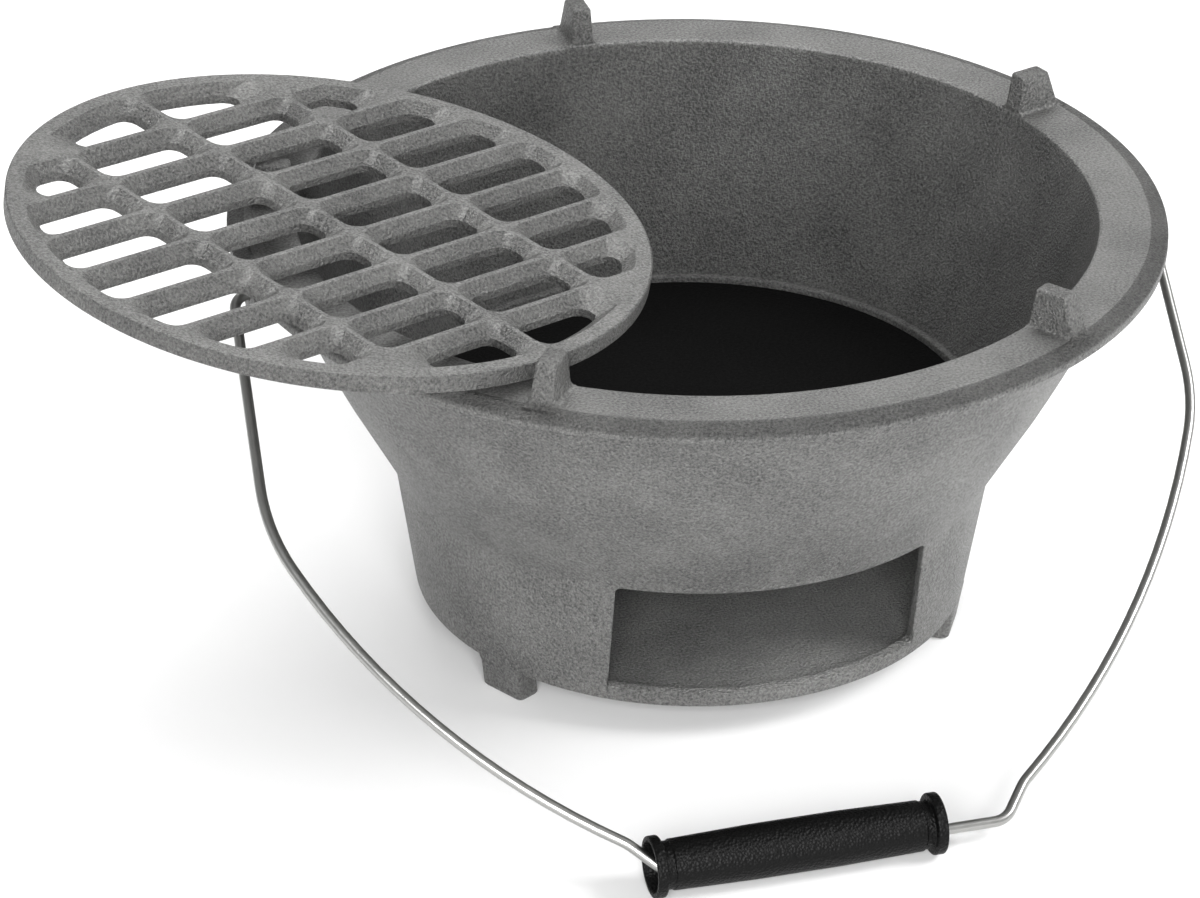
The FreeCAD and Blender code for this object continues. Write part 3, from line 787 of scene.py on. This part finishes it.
def casting_iron(name, dark, light, grain, depth):
    """The casting's iron: changed on the rim, on its chamfer, in the bowl and on the ash floor."""
    material, tree, place = new_material(name)
    normal = add_node(tree, "ShaderNodeTexCoord").outputs["Normal"]
    height = add_node(tree, "ShaderNodeSeparateXYZ", {"Vector": place}).outputs["Z"]
    level = add_node(tree, "ShaderNodeSeparateXYZ", {"Vector": normal}).outputs["Z"]
    flat = vector_node(tree, "MULTIPLY", {0: place, 1: (1, 1, 0)})[0]
    radius = vector_node(tree, "LENGTH", {0: flat})["Value"]

    chamfer_start = RIM_RADIUS - CHAMFER_WIDTH
    chamfer = rise(tree, radius, chamfer_start - 0.7, chamfer_start + 0.8)
    edge = math_node(tree, "MULTIPLY", chamfer, rise(tree, height, RIM_TOP - 4, RIM_TOP - 2.5))
    above = rise(tree, height, RIM_TOP - 0.8, RIM_TOP - 0.2)
    lugs = rise(tree, height, RIM_TOP + 0.2, RIM_TOP + 1.5)
    rim_flat = math_node(tree, "SUBTRACT", above, lugs)
    smooth = math_node(tree, "MULTIPLY", rim_flat, math_node(tree, "SUBTRACT", 1.0, chamfer))
    smoothed = math_node(tree, "MULTIPLY_ADD", smooth, RIM_SMOOTHING, 1.0)
    roughen = math_node(tree, "ADD", smoothed, edge)

    # Painted shade inside the bowl: faces turned inward, between the ledge and the rim.
    facing_in = math_node(
        tree, "LESS_THAN", vector_node(tree, "DOT_PRODUCT", {0: flat, 1: normal})["Value"], 0.0)
    near_rim = rise(tree, height, RIM_TOP - 2, RIM_TOP - 0.5)
    below_rim = math_node(tree, "SUBTRACT", 1.0, near_rim)
    above_ledge = math_node(tree, "GREATER_THAN", height, LEDGE * MM)
    bowl_height = math_node(tree, "MULTIPLY", below_rim, above_ledge)
    in_bowl = math_node(tree, "MULTIPLY", facing_in, bowl_height)
    # Painted light on the level floor of the ash chamber and the sill.
    low = math_node(tree, "LESS_THAN", height, LEDGE / 2 * MM)
    ash_floor = math_node(tree, "MULTIPLY", low, math_node(tree, "GREATER_THAN", level, 0.7))
    shade = math_node(tree, "MULTIPLY_ADD", ash_floor, ASH_FLOOR_PAINTED_LIGHT, 1.0)
    # Painted shade on the chamfer, over its rougher grain.
    shade = math_node(tree, "MULTIPLY_ADD", edge, CHAMFER_PAINTED_SHADE, shade)
    shade = math_node(tree, "MULTIPLY_ADD", in_bowl, BOWL_PAINTED_SHADE, shade)
    iron_shader(tree, place, dark, light, grain, depth, roughen, shade)
    return material


def grate_iron_by_slope(name, dark, light, grain, depth):
    """Grate iron: level faces smoother with painted light, slopes rougher with painted shade."""
    material, tree, place = new_material(name)
    normal = add_node(tree, "ShaderNodeTexCoord").outputs["Normal"]
    upward = add_node(tree, "ShaderNodeSeparateXYZ", {"Vector": normal}).outputs["Z"]
    level = remap(tree, upward, *RIDGE_SLOPE, 0, 1)
    roughen = math_node(tree, "MULTIPLY_ADD", level, -0.9, 1.5)
    # Painted light on level faces and painted shade on slopes.
    shade = math_node(tree, "MULTIPLY_ADD", level, 0.15, 1.05)
    iron_shader(tree, place, dark, light, grain, depth, roughen, shade)
    return material


bare_iron = {"dark": "424242", "light": "868684", "grain": 1.0, "depth": 1.8}
soot = {"dark": "050505", "light": "0c0c0c", "grain": 1.2, "depth": 0.5}
body_iron = casting_iron("sand_cast_iron_body", **bare_iron)
grate_iron = grate_iron_by_slope("sand_cast_iron_grate", **bare_iron)
plate_iron = sand_cast_iron("sooty_cast_iron_plate", **soot, metal=0.0, gloss=0.05, dull=0.85)

# %% [markdown]
# ## Wire and grip
#
# The wire is bright drawn steel, and the grip a black plastic with a pebble grain. At the end of
# the cell each piece gets its material.

# %%
PEBBLE_SIZE = 1.1
PEBBLE_DEPTH = 0.3
MARK_SIZE = 3
MARK_DEPTH = 0.01


def drawn_steel(name):
    """Bright wire with faint drawing marks."""
    material, tree, place = new_material(name)
    marks = noise(tree, place, MARK_SIZE, detail=2)
    settings = {
        "Base Color": linear("a8a8a6"),
        "Metallic": 1.0,
        "Roughness": remap(tree, marks, *NOISE_RANGE, 0.28, 0.34),
    }
    finish_material(tree, settings, marks, MARK_DEPTH)
    return material


def moulded_plastic(name):
    """Black plastic with a fine pebble grain."""
    material, tree, place = new_material(name)
    cells = {"Vector": place, "Scale": 1 / (PEBBLE_SIZE * MM)}
    pebble = add_node(tree, "ShaderNodeTexVoronoi", cells).outputs["Distance"]
    settings = {"Base Color": linear("060606"), "Roughness": 0.45, "Specular IOR Level": 0.13}
    finish_material(tree, settings, pebble, PEBBLE_DEPTH)
    return material


wire_steel = drawn_steel("bright_drawn_steel_wire")
grip_plastic = moulded_plastic("pebbled_black_plastic")

for thing, material in (
    (stove, body_iron),
    (grate, grate_iron),
    (grip, grip_plastic),
    (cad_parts["fire_plate"], plate_iron),
    (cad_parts["bail_wire"], wire_steel),
):
    thing.data.materials.clear()
    thing.data.materials.append(material)
    print(thing.name, "is", material.name)

# %% [markdown]
# ## Stage and light
#
# A plain pale floor that fades into a white surround, a soft lamp from the upper right, one from
# the front that reaches into the window, and a wide one overhead. The camera sees the surround
# white, while the pieces are lit by a weaker one. Lengths here are in metres and lamps in watts.

# %%
FLOOR_SIZE = 6
FLOOR_FADE = (0.7, 1.5)
SURROUND_SEEN = 1.0
SURROUND_FELT = 0.4
WHITE = (1, 1, 1, 1)

floor_mesh = bmesh.new()
bmesh.ops.create_grid(floor_mesh, x_segments=1, y_segments=1, size=FLOOR_SIZE)
mesh = bpy.data.meshes.new("floor")
floor_mesh.to_mesh(mesh)
floor_mesh.free()
floor = bpy.data.objects.new("floor", mesh)
bpy.context.collection.objects.link(floor)
material, tree, place = new_material("pale_paper_floor")
paper = {"Base Color": linear("f4f4f4"), "Roughness": 0.9}
surface = add_node(tree, "ShaderNodeBsdfPrincipled", paper).outputs["BSDF"]
clear = add_node(tree, "ShaderNodeBsdfTransparent").outputs["BSDF"]
fade = remap(tree, vector_node(tree, "LENGTH", {0: place})["Value"], *FLOOR_FADE, 0, 1)
mix = add_node(tree, "ShaderNodeMixShader", {0: fade, 1: surface, 2: clear})
add_node(tree, "ShaderNodeOutputMaterial", {"Surface": mix.outputs[0]})
floor.data.materials.append(material)

world = bpy.data.worlds.new("studio")
bpy.context.scene.world = world
world.use_nodes = True
tree = world.node_tree
tree.nodes.clear()
seen, felt = (
    add_node(tree, "ShaderNodeBackground", {"Color": WHITE, "Strength": strength}).outputs[0]
    for strength in (SURROUND_SEEN, SURROUND_FELT))
by_camera = add_node(tree, "ShaderNodeLightPath").outputs["Is Camera Ray"]
mix = add_node(tree, "ShaderNodeMixShader", {0: by_camera, 1: felt, 2: seen})
add_node(tree, "ShaderNodeOutputWorld", {"Surface": mix.outputs[0]})


def add_softbox(name, place, target, size, power):
    """A square lamp at a place, turned towards a target."""
    lamp = bpy.data.lights.new(name, "AREA")
    lamp.shape = "SQUARE"
    lamp.size = size
    lamp.energy = power
    holder = bpy.data.objects.new(name, lamp)
    bpy.context.collection.objects.link(holder)
    holder.location = place
    way = Vector(target) - Vector(place)
    holder.rotation_euler = way.to_track_quat("-Z", "Y").to_euler()


middle = (0, 0, 0.12)
add_softbox("key_right", (1.6, -0.8, 1.5), middle, size=1.0, power=38)
add_softbox("front", (-0.67, -2.05, 0.9), middle, size=1.2, power=72)
add_softbox("overhead", (0.35, 1.35, 2.0), middle, size=1.6, power=41)
bpy.context.scene.view_settings.view_transform = "Standard"

# %% [markdown]
# ## Camera
#
# A long lens, from the front and a little to the left of the window, aimed at the middle of the rim
# and then turned so that the rim lies where it does in the photograph.

# %%
VIEW_AZIMUTH = math.radians(-18)
VIEW_ELEVATION = math.radians(26.02)
VIEW_DISTANCE = 10.669 * RIM_RADIUS * MM
PAN = math.radians(2.434)
TILT = math.radians(-2.816)
SIDE_SHIFT = 0.079
FOCAL_LENGTH = 150
SENSOR_WIDTH = 36
FARTHEST = 50

aim = Vector((0, 0, RIM_TOP * MM))
out = Vector((
    math.sin(VIEW_AZIMUTH) * math.cos(VIEW_ELEVATION),
    -math.cos(VIEW_AZIMUTH) * math.cos(VIEW_ELEVATION),
    math.sin(VIEW_ELEVATION),
))
forward = -out
right = Vector((math.cos(VIEW_AZIMUTH), math.sin(VIEW_AZIMUTH), 0))
up = right.cross(forward)
turn = Matrix.Rotation(PAN, 3, "Z")
forward, right, up = turn @ forward, turn @ right, turn @ up
turn = Matrix.Rotation(TILT, 3, right)
forward, up = turn @ forward, turn @ up

lens = bpy.data.cameras.new("photo_camera")
lens.sensor_fit = "HORIZONTAL"
lens.sensor_width = SENSOR_WIDTH
lens.lens = FOCAL_LENGTH
lens.shift_x = SIDE_SHIFT
lens.clip_end = FARTHEST
camera = bpy.data.objects.new("photo_camera", lens)
bpy.context.collection.objects.link(camera)
axes = Matrix((right, up, -forward)).transposed().to_4x4()
camera.matrix_world = Matrix.Translation(aim + out * VIEW_DISTANCE) @ axes
bpy.context.scene.camera = camera
print("camera at", [round(value, 3) for value in camera.location])
